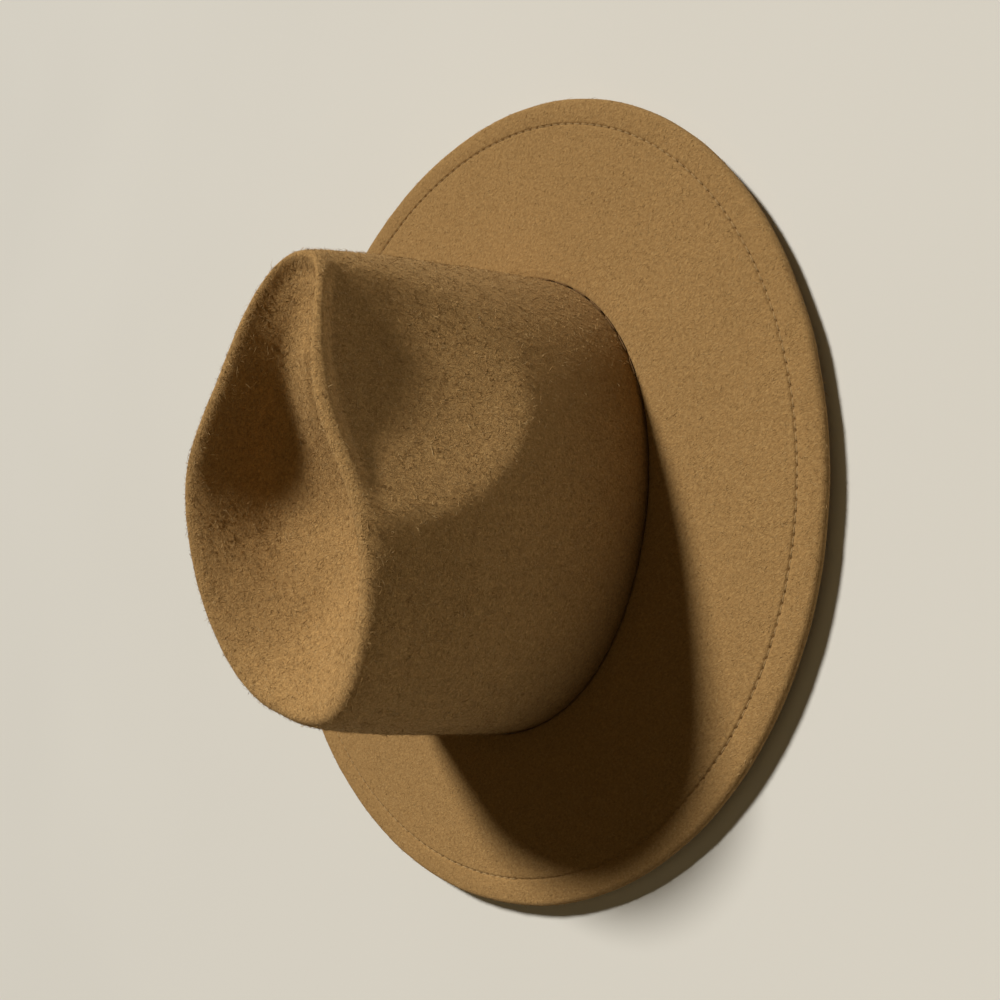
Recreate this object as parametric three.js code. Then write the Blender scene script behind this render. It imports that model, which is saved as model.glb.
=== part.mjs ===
// Wide-brimmed felt hat with a teardrop crown, resting crown-up on its brim.
// Millimetres. +Z up through the crown, -Y to the front of the hat, wearer's right at -X.
// Origin: centre of the brim, on the flat underside of its turned edge (z = 0).
import * as THREE from 'three';
import { LoftGeometry } from 'three/addons/geometries/LoftGeometry.js';
import { NURBSCurve } from 'three/addons/curves/NURBSCurve.js';
import { mergeGeometries, mergeVertices } from 'three/addons/utils/BufferGeometryUtils.js';

// ---------------------------------------------------------------- driving dimensions
const FELT = 2.5; // thickness of the crown felt and of the upper brim ply
const GAP = 0.3; // clearance between pieces that touch on the real hat
const STEPS = 48; // stations around the hat, shared by every ring so that they nest
const EGG = 0.022; // both ovals are this much wider at the back than at the middle

const HEAD = { halfLength: 103, halfWidth: 82, centreY: 2.5, power: 2.14 };
const BRIM = { halfLength: 179.7, halfWidth: 157.1, underside: 2.5, top: 5.0 };

const HEM = {
  ply: 2.2, // turned-under ply, the face the hat rests on
  width: 14.5, // edge to raw edge
  seam: 11.2, // edge to stitch line
  grooveHalf: 0.5, // half width of the groove the stitches pull in
  grooveSlope: 0.5,
  grooveDepth: 0.8,
};
const WIRE = { inset: 3.9, z: 2.5, radius: 0.55, tunnel: 1.2, endGap: 1.0 };
const SLEEVE = { inner: 0.75, outer: 0.95, length: 22, angle: -165 };
const THREAD = { edge: 0.22, head: 0.3, joint: 0.25 };

// Ridge of the teardrop: half width, height and length, with s = -1 at the front, +1 at the back
const RIDGE = {
  halfLength: 87.5,
  midWidth: 45.5, flare: 17.5, flareShift: 0.2, flareReach: 0.29, roundness: 0.76,
  midHeight: 127.8, fall: 17, sag: 4, noseDrop: 25, noseStart: 0.25,
  lift: 4, // control point above the crest, so that the curve passes at crest height
};
// Floor line of the dent, on the centre plane; it rises to the front
const DENT = { midY: -5, halfLength: 46, floor: 92, frontRise: 28, riseFrom: -0.45, riseTo: 1 };
// Wall control points: share of the ridge height, share of the way in to the ridge
const WALL = [[0.12, 0], [0.32, 0.05], [0.52, 0.14], [0.72, 0.31], [0.9, 0.66]];
const FRONT_BACK_TAPER = 0.75; // front and back walls run nearly straight up to the ridge
// Inner slope control points: share of the way from the ridge to the floor line, and how much
// more of it at the back, where the dent is a rounder bowl
const SLOPE = {
  near: 0.17, nearMore: 0.07, nearDrop: 3,
  mid: 0.36, midMore: 0.15, midDrop: 0.53,
  low: 0.58, lowMore: 0.2,
  rearStart: 0.35, rearEnd: 1,
};
// Hollow pressed into each side of the crown beside the ridge, as if by a large ball
const HOLLOW = {
  centre: [-46.3, -35.6, 105.6], facing: [-0.75, -0.49, 0.44], // on the wearer's right
  radius: 180, depth: 3.5,
  rounding: 1.6, // softens the hollow's rim
  residue: 0.064, // what that softening still adds far from the hollow, taken off again
  belowCrest: 9, // depth below the crest over which the press sets in
  noseStart: 3, noseEnd: 14, // and half width of the crown over which it does
};

const BAND = {
  top: 34, thickness: 0.8, wallGap: 0.6,
  trough: 1.9, // width of the hook that holds the reed
  hookBottom: 0.6, hookTop: 5.0, turn: 3.0,
  slit: 1.0, // open butt joint at the back
};
const REED = { radius: 0.55, z: 2.6 };
const HEAD_SEAM = { innerZ: 8, slack: 0.05 }; // inner stitches above the hook; extra room in the crease
const JOINT = { low: 17, high: 32, turns: 6, reach: 2.2 }; // zigzag over the band's joint
const BOW = {
  z: 13.5, inward: 0.8, thickness: 1.2,
  knotHalf: [1.6, 2], // half width and half height of the knot
  loopEnd: [9, 4], // corner of a loop
  loopBulge: [10.5, 5], // how far the loop swells past its corners
  loopFlare: 5, // where along the bow it swells
};
const SIZE_LABEL = { start: 104, end: 112, low: 15, high: 28 }; // degrees round from the wearer's left
const CARE_LABEL = { start: 48, end: 62, low: 13, high: 31 };
const LABEL_THICKNESS = 0.4;

const BAND_FACE = BAND.wallGap + BAND.thickness; // inner face of the band, in from the crown

const FRONT = -Math.PI / 2;
const BACK = Math.PI / 2;

// ---------------------------------------------------------------- helpers
const degrees = (a) => THREE.MathUtils.degToRad(a);
const smooth = THREE.MathUtils.smoothstep;
const signedPower = (v, e) => Math.sign(v) * Math.abs(v) ** e;

/** Angles from start to end that pass through every shared station between them. */
function stations(start = FRONT, end = FRONT + 2 * Math.PI) {
  const step = (2 * Math.PI) / STEPS;
  const angles = [start];
  const first = Math.ceil((start - FRONT) / step + 1e-6);
  const last = Math.floor((end - FRONT) / step - 1e-6);
  for (let i = first; i <= last; i++) angles.push(FRONT + i * step);
  angles.push(end);
  return angles;
}

/** Point of a flat curve at an angle, moved outward along the curve's normal. */
function offsetAt(curve, angle, outward) {
  const d = 1e-3;
  const p = curve(angle);
  const ahead = curve(angle + d);
  const behind = curve(angle - d);
  const tangent = ahead.sub(behind).normalize();
  return new THREE.Vector2(p.x + tangent.y * outward, p.y - tangent.x * outward);
}

/** The same, but on the straight chord between the two nearest stations. */
function offsetPoint(curve, angle, outward) {
  const step = (2 * Math.PI) / STEPS;
  const place = (angle - FRONT) / step;
  const before = Math.floor(place + 1e-6);
  const share = place - before;
  const point = offsetAt(curve, FRONT + before * step, outward);
  if (share < 1e-5) return point;
  return point.lerp(offsetAt(curve, FRONT + (before + 1) * step, outward), share);
}

const headOval = (a) => new THREE.Vector2(
  HEAD.halfWidth * signedPower(Math.cos(a), 2 / HEAD.power) * (1 + EGG * Math.sin(a)),
  HEAD.centreY + HEAD.halfLength * signedPower(Math.sin(a), 2 / HEAD.power),
);

const brimOval = (a) => new THREE.Vector2(
  BRIM.halfWidth * Math.cos(a) * (1 + EGG * Math.sin(a)),
  BRIM.halfLength * Math.sin(a),
);

/** Welds a geometry's equal points and keeps positions only. */
function weld(geometry) {
  const bare = new THREE.BufferGeometry().copy(geometry);
  bare.deleteAttribute('normal');
  bare.deleteAttribute('uv');
  return mergeVertices(bare, 1e-4);
}

/** Turns the faces of a closed geometry outward. */
function facingOut(geometry) {
  const p = geometry.attributes.position;
  const index = geometry.index;
  const [a, b, c] = [new THREE.Vector3(), new THREE.Vector3(), new THREE.Vector3()];
  let volume = 0;
  for (let i = 0; i < index.count; i += 3) {
    a.fromBufferAttribute(p, index.getX(i));
    b.fromBufferAttribute(p, index.getX(i + 1));
    c.fromBufferAttribute(p, index.getX(i + 2));
    volume += a.dot(b.cross(c));
  }
  if (volume < 0) {
    for (let i = 0; i < index.count; i += 3) {
      const second = index.getX(i + 1);
      index.setX(i + 1, index.getX(i + 2));
      index.setX(i + 2, second);
    }
  }
  geometry.computeVertexNormals();
  return geometry;
}

/** Solid swept through the angles; section(angle) gives its closed outline as points. */
function sweep(section, angles, closed = true) {
  const options = closed ? {} : { capStart: true, capEnd: true };
  return facingOut(weld(new LoftGeometry(angles.map(section), options)));
}

/** Closed outline given as [distance inward, z], measured from a flat curve. */
function outlineFrom(curve, outline) {
  return (angle) => outline.map(([inward, z]) => {
    const p = offsetPoint(curve, angle, -inward);
    return new THREE.Vector3(p.x, p.y, z);
  });
}

/** Round section of a thread, wire or reed. */
function roundOutline(inward, z, radius, sides) {
  return Array.from({ length: sides }, (_, i) => {
    const a = ((i + 0.5) / sides) * 2 * Math.PI;
    return [inward + radius * Math.cos(a), z + radius * Math.sin(a)];
  });
}

/** Gives an open surface a thickness, inward, and closes its rim. */
function thicken(surface, thickness) {
  surface.computeVertexNormals();
  const { position, normal } = surface.attributes;
  const count = position.count;
  const faces = Array.from(surface.index.array);
  const used = new Set();
  for (let i = 0; i < faces.length; i += 3) {
    for (let k = 0; k < 3; k++) used.add(`${faces[i + k]}_${faces[i + ((k + 1) % 3)]}`);
  }
  const rim = [];
  for (const edge of used) {
    const [a, b] = edge.split('_').map(Number);
    if (!used.has(`${b}_${a}`)) rim.push([a, b]);
  }
  const rimPoints = new Set(rim.flat());
  const points = Array.from(position.array);
  const n = new THREE.Vector3();
  for (let i = 0; i < count; i++) {
    n.fromBufferAttribute(normal, i);
    if (rimPoints.has(i)) n.setZ(0).normalize();
    points.push(
      position.getX(i) - n.x * thickness,
      position.getY(i) - n.y * thickness,
      position.getZ(i) - n.z * thickness,
    );
  }
  const inner = [];
  for (let i = 0; i < faces.length; i += 3) {
    inner.push(faces[i] + count, faces[i + 2] + count, faces[i + 1] + count);
  }
  const edgeFaces = rim.flatMap(([a, b]) => [b, a, a + count, b, a + count, b + count]);
  const shell = new THREE.BufferGeometry();
  shell.setAttribute('position', new THREE.Float32BufferAttribute(points, 3));
  shell.setIndex([...faces, ...inner, ...edgeFaces]);
  return facingOut(shell);
}

// ---------------------------------------------------------------- crown
/** One column of the crown's outer surface, from the brim over the ridge to the dent's floor. */
function crownColumn(angle) {
  const c = Math.cos(angle);
  const s = Math.sin(angle);
  const base = headOval(angle);
  const flare = Math.tanh((s + RIDGE.flareShift) / RIDGE.flareReach);
  const crest = new THREE.Vector3(
    (RIDGE.midWidth + RIDGE.flare * flare) * signedPower(c, RIDGE.roundness),
    HEAD.centreY + RIDGE.halfLength * s,
    RIDGE.midHeight - RIDGE.fall * s - RIDGE.sag * s * s
      - RIDGE.noseDrop * Math.max(0, -s - RIDGE.noseStart) ** 2,
  );
  const floor = new THREE.Vector3(
    0,
    DENT.midY + DENT.halfLength * s,
    DENT.floor + DENT.frontRise * smooth(-s, DENT.riseFrom, DENT.riseTo),
  );
  const rear = smooth(s, SLOPE.rearStart, SLOPE.rearEnd);
  const bottom = BRIM.underside;
  const wallPoint = (height, inward) => {
    const share = inward + (height - inward) * FRONT_BACK_TAPER * s * s;
    return [
      base.x + (crest.x - base.x) * share,
      base.y + (crest.y - base.y) * share,
      bottom + (crest.z - bottom) * height,
    ];
  };
  const slopePoint = (share, z) => [
    crest.x + (floor.x - crest.x) * share,
    crest.y + (floor.y - crest.y) * share,
    z,
  ];
  const controls = [
    wallPoint(0, 0),
    ...WALL.map(([height, inward]) => wallPoint(height, inward)),
    [crest.x, crest.y, crest.z + RIDGE.lift],
    slopePoint(SLOPE.near + SLOPE.nearMore * rear, crest.z - SLOPE.nearDrop),
    slopePoint(SLOPE.mid + SLOPE.midMore * rear, crest.z + (floor.z - crest.z) * SLOPE.midDrop),
    slopePoint(SLOPE.low + SLOPE.lowMore * rear, floor.z),
    [floor.x, floor.y, floor.z],
  ].map(([x, y, z]) => new THREE.Vector4(x, y, z, 1));
  const spans = controls.length - 3;
  const inside = Array.from({ length: spans - 1 }, (_, i) => (i + 1) / spans);
  return new NURBSCurve(3, [0, 0, 0, 0, ...inside, 1, 1, 1, 1], controls);
}

/** Presses the hollow into the part of a column that lies outside the ridge. */
function pressHollow(points) {
  const crest = points.reduce((best, p, i) => (p.z > points[best].z ? i : best), 0);
  const facing = new THREE.Vector3(...HOLLOW.facing).normalize();
  const ball = new THREE.Vector3(...HOLLOW.centre)
    .addScaledVector(facing, HOLLOW.radius - HOLLOW.depth);
  return points.map((p, i) => {
    const left = HOLLOW.radius ** 2 - (p.y - ball.y) ** 2 - (p.z - ball.z) ** 2;
    if (i >= crest || left <= 0) return p;
    const x = -Math.abs(p.x);
    const ballX = ball.x + Math.sqrt(left);
    const pressed = (x + ballX) / 2 + Math.hypot((x - ballX) / 2, HOLLOW.rounding);
    const push = Math.max(pressed - x - HOLLOW.residue, 0)
      * smooth((points[crest].z - p.z) / HOLLOW.belowCrest, 0, 1)
      * smooth(-x, HOLLOW.noseStart, HOLLOW.noseEnd);
    return new THREE.Vector3(Math.sign(p.x) * -(x + push), p.y, p.z);
  });
}

function crownSurface() {
  const rows = 17;
  const columns = stations().slice(0, -1).map((angle) => {
    const curve = crownColumn(angle);
    const points = Array.from({ length: rows }, (_, i) => curve.getPoint(i / (rows - 1)));
    points[rows - 1].setX(0);
    return pressHollow(points);
  });
  const rings = Array.from({ length: rows }, (_, i) => columns.map((column) => column[i]));
  return weld(new LoftGeometry(rings));
}

/** Inner face of the crown wall at a height, as a flat curve. */
function crownInside(z) {
  return (angle) => {
    const curve = crownColumn(angle);
    let [low, high] = [0, 0.4];
    for (let i = 0; i < 24; i++) {
      const middle = (low + high) / 2;
      if (curve.getPoint(middle).z < z) low = middle;
      else high = middle;
    }
    const outside = curve.getPoint(low);
    const base = headOval(angle);
    const inner = offsetPoint(headOval, angle, -FELT);
    return new THREE.Vector2(outside.x + inner.x - base.x, outside.y + inner.y - base.y);
  };
}

// ---------------------------------------------------------------- brim
/** Brim with its edge turned under, a groove on each face at the seam and a tunnel for the wire. */
function brimSection(angle) {
  const { width, seam, ply, grooveHalf: half, grooveSlope: slope, grooveDepth: deep } = HEM;
  const { inset, z, tunnel } = WIRE;
  const { underside, top } = BRIM;
  const grooveIn = seam + half + slope;
  const grooveOut = seam - half - slope;
  const edge = outlineFrom(brimOval, [
    [grooveIn, top], [seam + half, top - deep], [seam - half, top - deep], [grooveOut, top],
    [5, top + 0.2], [1.8, top], [0.4, top - 1], [0, 2.6], [0.4, 1.1], [1.8, 0.15], [3, 0],
    [grooveOut, 0], [seam - half, deep], [seam + half, deep], [grooveIn, 0],
    [width, 0], [width, ply],
    [inset + 1.3, ply], [inset + 0.8, z - tunnel * 0.92], [inset - 0.4, z - tunnel],
    [inset - tunnel, z - 0.5], [inset - tunnel, z + 0.5], [inset - 0.4, z + tunnel],
    [inset + 0.8, z + tunnel * 0.92], [inset + 1.3, underside],
  ])(angle);
  const head = offsetPoint(headOval, angle, GAP);
  return [
    new THREE.Vector3(head.x, head.y, top),
    ...edge,
    new THREE.Vector3(head.x, head.y, underside),
  ];
}

/** Angle that a length along the wire takes up at its sleeve. */
const wireAngle = (length) => length / offsetPoint(brimOval, degrees(SLEEVE.angle), -WIRE.inset).length();

function wireSleeve() {
  const middle = degrees(SLEEVE.angle);
  const half = wireAngle(SLEEVE.length) / 2;
  const sides = 8;
  const angles = stations(middle - half, middle + half);
  const tube = (radius) => outlineFrom(brimOval, roundOutline(WIRE.inset, WIRE.z, radius, sides));
  const outer = angles.map(tube(SLEEVE.outer));
  const inner = angles.map(tube(SLEEVE.inner)).reverse();
  return facingOut(weld(new LoftGeometry([...outer, ...inner, outer[0]])));
}

// ---------------------------------------------------------------- sweatband
/** Point of the band's section: distance inward from the crown's inner face, and height. */
function bandPoints(angle, outline) {
  return outline.map(([inward, z]) => {
    const p = offsetPoint(crownInside(Math.max(z, BAND.turn)), angle, -inward);
    return new THREE.Vector3(p.x, p.y, z);
  });
}

function bandOutline() {
  const { wallGap: out, thickness: t, trough, top, turn, hookBottom: low, hookTop } = BAND;
  const inner = BAND_FACE;
  const far = inner + trough; // near side of the hook's free end
  const middle = inner + trough / 2;
  return [
    [out, top], [out, 23], [out, 12], [out, turn],
    [out + 0.3, low + 1], [inner + 0.3, low + 0.15], [middle + 0.35, low], [far + 0.3, low + 0.5],
    [far + t, low + 1.6], [far + t, hookTop], [far, hookTop], [far, low + 2],
    [far - 0.4, low + 1.05], [middle, low + t], [inner + 0.3, low + 1.05], [inner, low + 2],
    [inner, 12], [inner, 23], [inner, top],
  ];
}

/** Label lying on the band's inner face. */
function bandPatch({ start, end, low, high }) {
  const near = BAND_FACE + GAP;
  const far = near + LABEL_THICKNESS;
  const outline = [[near, low], [far, low], [far, high], [near, high]];
  const angles = stations(degrees(start), degrees(end));
  return sweep((a) => bandPoints(a, outline), angles, false);
}

/** Zigzag that draws the two ends of the band together. */
function jointThread() {
  const { low, high, turns, reach } = JOINT;
  const inward = BAND_FACE + GAP + THREAD.joint;
  const route = Array.from({ length: turns + 1 }, (_, i) => {
    const z = low + ((high - low) * i) / turns;
    const angle = BACK + ((i % 2 ? 1 : -1) * reach) / HEAD.halfWidth;
    return bandPoints(angle, [[inward, z]])[0];
  });
  const circle = new THREE.Path().absarc(0, 0, THREAD.joint, 0, 2 * Math.PI);
  const section = new THREE.Shape(circle.getPoints(3));
  const path = new THREE.CatmullRomCurve3(route, false, 'centripetal');
  return facingOut(weld(new THREE.ExtrudeGeometry(section, {
    extrudePath: path, steps: turns * 5, bevelEnabled: false,
  })));
}

/** Small flat ribbon bow over the foot of the band's joint. */
function bow() {
  const [knotX, knotZ] = BOW.knotHalf;
  const [endX, endZ] = BOW.loopEnd;
  const [bulgeX, bulgeZ] = BOW.loopBulge;
  const outline = new THREE.Shape();
  outline.moveTo(-knotX, -knotZ);
  for (const side of [1, -1]) {
    outline.lineTo(side * knotX, -side * knotZ);
    outline.quadraticCurveTo(side * BOW.loopFlare, -side * bulgeZ, side * endX, -side * endZ);
    outline.quadraticCurveTo(side * bulgeX, 0, side * endX, side * endZ);
    outline.quadraticCurveTo(side * BOW.loopFlare, side * bulgeZ, side * knotX, side * knotZ);
  }
  return facingOut(weld(new THREE.ExtrudeGeometry(outline, {
    depth: BOW.thickness, bevelEnabled: false, curveSegments: 4,
  })));
}

// ---------------------------------------------------------------- assembly
const felt = new THREE.MeshStandardMaterial({ color: 0x8f7244, roughness: 0.97, metalness: 0 });
const thread = new THREE.MeshStandardMaterial({ color: 0x9a7f55, roughness: 0.8, metalness: 0 });
const steel = new THREE.MeshStandardMaterial({ color: 0x9a9a98, roughness: 0.35, metalness: 1 });
const bandCloth = new THREE.MeshStandardMaterial({ color: 0x4a3524, roughness: 0.75, metalness: 0 });
const plastic = new THREE.MeshStandardMaterial({ color: 0xd8d2c0, roughness: 0.5, metalness: 0 });
const label = new THREE.MeshStandardMaterial({ color: 0xe6e0d0, roughness: 0.85, metalness: 0 });

const hat = new THREE.Group();

function add(name, geometry, material) {
  const mesh = new THREE.Mesh(geometry, material);
  mesh.name = name;
  hat.add(mesh);
  return mesh;
}

const ring = (curve, inward, z, radius, sides = 4) =>
  sweep(outlineFrom(curve, roundOutline(inward, z, radius, sides)), stations());

add('crown', thicken(crownSurface(), FELT), felt);
add('brim', sweep(brimSection, stations()), felt);

const wireStart = degrees(SLEEVE.angle) + wireAngle(WIRE.endGap) / 2;
const wireEnd = degrees(SLEEVE.angle) - wireAngle(WIRE.endGap) / 2 + 2 * Math.PI;
const wireSection = outlineFrom(brimOval, roundOutline(WIRE.inset, WIRE.z, WIRE.radius, 5));
add('brim_wire', sweep(wireSection, stations(wireStart, wireEnd), false), steel);
add('brim_wire_sleeve', wireSleeve(), steel);

const edgeThreadRise = HEM.grooveDepth - GAP - THREAD.edge;
add('edge_seam_needle_thread', ring(brimOval, HEM.seam, BRIM.top - edgeThreadRise, THREAD.edge), thread);
add('edge_seam_bobbin_thread', ring(brimOval, HEM.seam, edgeThreadRise, THREAD.edge), thread);

const creaseClearance = GAP + THREAD.head + HEAD_SEAM.slack;
add(
  'head_seam_needle_thread',
  ring(headOval, -creaseClearance, BRIM.top + creaseClearance, THREAD.head),
  thread,
);
const bobbinOutline = roundOutline(BAND_FACE + GAP + THREAD.head, HEAD_SEAM.innerZ, THREAD.head, 4);
add('head_seam_bobbin_thread', sweep((a) => bandPoints(a, bobbinOutline), stations()), thread);

const slitHalf = BAND.slit / 2 / HEAD.halfWidth;
const bandAngles = stations(BACK + slitHalf, BACK + 2 * Math.PI - slitHalf);
add('sweatband', sweep((a) => bandPoints(a, bandOutline()), bandAngles, false), bandCloth);

const reedOutline = roundOutline(BAND_FACE + BAND.trough / 2, REED.z, REED.radius, 5);
add('sweatband_reed', sweep((a) => bandPoints(a, reedOutline), bandAngles, false), plastic);
add('sweatband_joint_thread', jointThread(), thread);

const bowMesh = add('sweatband_bow', bow(), bandCloth);
const bowInward = BAND_FACE + GAP + BOW.inward;
const bowLine = [[bowInward, BOW.z - BOW.loopEnd[1]], [bowInward, BOW.z]]; // leans with the wall
const [bowFoot, bowMiddle] = bandPoints(BACK, bowLine);
bowMesh.rotation.x = Math.PI / 2 + Math.atan2(bowFoot.y - bowMiddle.y, bowMiddle.z - bowFoot.z);
bowMesh.position.copy(bowMiddle);

add('size_label', bandPatch(SIZE_LABEL), label);
add('care_label', bandPatch(CARE_LABEL), label);

export default hat;
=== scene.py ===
import math

import bpy
import numpy as np
from mathutils import Matrix, Vector, noise


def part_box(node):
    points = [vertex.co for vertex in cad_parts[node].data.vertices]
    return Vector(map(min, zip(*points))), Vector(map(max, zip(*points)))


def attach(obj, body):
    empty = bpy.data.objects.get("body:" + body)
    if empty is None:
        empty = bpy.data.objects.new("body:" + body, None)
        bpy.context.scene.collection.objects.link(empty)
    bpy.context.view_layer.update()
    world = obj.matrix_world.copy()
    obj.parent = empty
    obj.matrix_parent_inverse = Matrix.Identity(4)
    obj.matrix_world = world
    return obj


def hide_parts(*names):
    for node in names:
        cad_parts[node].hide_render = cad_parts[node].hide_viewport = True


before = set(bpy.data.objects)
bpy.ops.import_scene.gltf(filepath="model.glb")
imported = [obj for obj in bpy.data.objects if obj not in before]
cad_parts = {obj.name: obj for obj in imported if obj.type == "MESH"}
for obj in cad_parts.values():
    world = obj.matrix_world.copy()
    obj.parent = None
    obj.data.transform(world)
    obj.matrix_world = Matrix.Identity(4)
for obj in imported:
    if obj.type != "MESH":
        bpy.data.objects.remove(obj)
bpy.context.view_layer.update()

# ------------------------------------------------------------------ driving sizes, in metres
MM = 0.001
FELT = 2.5 * MM  # thickness of the crown felt and of the upper brim ply
EGG = 0.022  # both ovals are this much wider at the back than at the middle
HEAD_POWER = 2.14  # the head oval is a little squarer than an ellipse

brim_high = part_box("brim")[1]
crown_low, crown_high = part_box("crown")
BRIM_HALF = (brim_high[0], brim_high[1])
BRIM_TOP = 5.0 * MM
BRIM_UNDER = 2.5 * MM
HEAD_HALF = (crown_high[0], (crown_high[1] - crown_low[1]) / 2)
HEAD_Y = (crown_high[1] + crown_low[1]) / 2

SEAM = 11.2 * MM  # stitch line, in from the brim's edge
HEM = 14.5 * MM  # raw edge of the turned-under ply
HEM_PLY = 2.2 * MM
EDGE_STITCHES, CREASE_STITCHES, BAND_STITCHES = 238, 52, 150
COLUMNS_PER_STITCH = 4
WIRE_IN, TUNNEL_R = 3.9 * MM, 1.2 * MM  # the wire's middle, in from the edge, and its tunnel's radius

FRONT = -math.pi / 2
BACK = math.pi / 2
GRAIN = np.random.default_rng(7)

# thread and cord radii
EDGE_THREAD, CREASE_THREAD, BAND_THREAD, JOINT_THREAD = 0.19 * MM, 0.24 * MM, 0.26 * MM, 0.24 * MM
REED_RADIUS = 0.55 * MM


# ------------------------------------------------------------------ curves
def signed_power(v, e):
    """The power of a number's size, with its sign kept."""
    return np.sign(v) * np.abs(v) ** e


def smooth(v, low, high):
    """From 0 at low to 1 at high, level at both ends."""
    t = np.clip((v - low) / (high - low), 0, 1)
    return t * t * (3 - 2 * t)


def head_oval(a):
    """The crown's foot, outside, at an angle."""
    c, s = np.cos(a), np.sin(a)
    x = HEAD_HALF[0] * signed_power(c, 2 / HEAD_POWER) * (1 + EGG * s)
    return np.stack([x, HEAD_Y + HEAD_HALF[1] * signed_power(s, 2 / HEAD_POWER)], -1)


def brim_oval(a):
    """The brim's outer edge at an angle."""
    c, s = np.cos(a), np.sin(a)
    return np.stack([BRIM_HALF[0] * c * (1 + EGG * s), BRIM_HALF[1] * s], -1)


def shifted(curve, a, outward):
    """Points of a flat curve moved outward along its normal."""
    d = 1e-3
    along = curve(a + d) - curve(a - d)
    along /= np.linalg.norm(along, axis=-1, keepdims=True)
    out = np.stack([along[..., 1], -along[..., 0]], -1)
    return curve(a) + out * np.asarray(outward)[..., None]


def even_angles(curve, count, inset=0.0):
    """Angles, from the front, that divide a closed flat curve into equal lengths."""
    fine = FRONT + np.linspace(0, 2 * math.pi, 7201)
    points = shifted(curve, fine, -inset)
    length = np.concatenate([[0], np.cumsum(np.linalg.norm(np.diff(points, axis=0), axis=1))])
    return np.interp(np.arange(count) / count * length[-1], length, fine)


def spline_basis(controls, samples):
    """Weights of a clamped uniform cubic B-spline's control points at evenly spaced samples."""
    knots = np.concatenate([np.zeros(3), np.linspace(0, 1, controls - 2), np.ones(3)])
    t = np.clip(np.linspace(0, 1, samples), 0, 1 - 1e-9)
    weights = ((t[:, None] >= knots[:-1]) & (t[:, None] < knots[1:])).astype(float)
    for degree in (1, 2, 3):
        raised = np.zeros_like(weights)
        for i in range(len(knots) - 1 - degree):
            before = knots[i + degree] - knots[i]
            after = knots[i + degree + 1] - knots[i + 1]
            if before > 0:
                raised[:, i] += (t - knots[i]) / before * weights[:, i]
            if after > 0:
                raised[:, i] += (knots[i + degree + 1] - t) / after * weights[:, i + 1]
        weights = raised
    return weights[:, :controls]


# ------------------------------------------------------------------ mesh helpers
def new_object(name, points, faces):
    """A smooth-shaded mesh that belongs to the hat."""
    mesh = bpy.data.meshes.new(name)
    faces = faces.tolist() if isinstance(faces, np.ndarray) else faces
    mesh.from_pydata(np.asarray(points, float).tolist(), [], faces)
    mesh.polygons.foreach_set("use_smooth", [True] * len(mesh.polygons))
    mesh.update()
    obj = bpy.data.objects.new(name, mesh)
    bpy.context.scene.collection.objects.link(obj)
    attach(obj, "root")
    return obj


def finish_piece(obj, material, slot, *nodes):
    """Gives a piece its material and hides the CAD nodes it stands for; slot is not used."""
    obj.data.materials.append(material)
    if nodes:
        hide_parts(*nodes)
    return obj


def grid_faces(rings, around, closed_rings=True, closed_loft=False):
    """Quads of a grid whose points are stored ring after ring."""
    r = np.arange(rings if closed_loft else rings - 1)
    k = np.arange(around if closed_rings else around - 1)
    r, k = [v.ravel() for v in np.meshgrid(r, k, indexing="ij")]
    r2, k2 = (r + 1) % rings, (k + 1) % around
    return np.stack([r * around + k, r * around + k2, r2 * around + k2, r2 * around + k], 1)


def swept(sections):
    """Points and faces of a solid through closed sections [stations, points, 3], with flat ends."""
    stations, around = sections.shape[:2]
    faces = grid_faces(stations, around).tolist()
    faces.append(list(range(around))[::-1])
    faces.append([(stations - 1) * around + k for k in range(around)])
    return sections.reshape(-1, 3), faces


def joined(parts):
    """One list of points and one of faces from several (points, faces)."""
    points, faces, start = [], [], 0
    for p, f in parts:
        points.append(p)
        faces += [[i + start for i in face] for face in f]
        start += len(p)
    return np.concatenate(points), faces


def point_normals(points, faces):
    """Area-weighted unit normals at the points of a quad mesh."""
    a, b, c, d = (points[faces[:, i]] for i in range(4))
    n = np.cross(c - a, d - b)
    total = np.zeros_like(points)
    for i in range(4):
        np.add.at(total, faces[:, i], n)
    return total / np.maximum(np.linalg.norm(total, axis=1, keepdims=True), 1e-12)


def lumps(points, size, seed=0.0):
    """Smooth noise from -1 to 1 at each point; size is the lumps' size in metres."""
    shift = Vector((seed, seed * 0.7, seed * 1.3))
    return np.array([noise.noise(Vector(p) / size + shift) for p in points])


def tube(path, radius, sides=6):
    """Thread or cord along a path, thinner and closed at its two ends."""
    along = np.gradient(path, axis=0)
    along /= np.linalg.norm(along, axis=1, keepdims=True)
    up = np.tile([0.0, 0.0, 1.0], (len(path), 1))
    across = np.cross(along, up)
    across /= np.maximum(np.linalg.norm(across, axis=1, keepdims=True), 1e-9)
    up = np.cross(across, along)
    radii = np.full(len(path), radius)
    radii[[0, -1]] *= 0.45
    k = np.arange(sides) / sides * 2 * math.pi
    ring = across[:, None] * np.cos(k)[None, :, None] + up[:, None] * np.sin(k)[None, :, None]
    return swept(path[:, None] + ring * radii[:, None, None])


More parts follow.
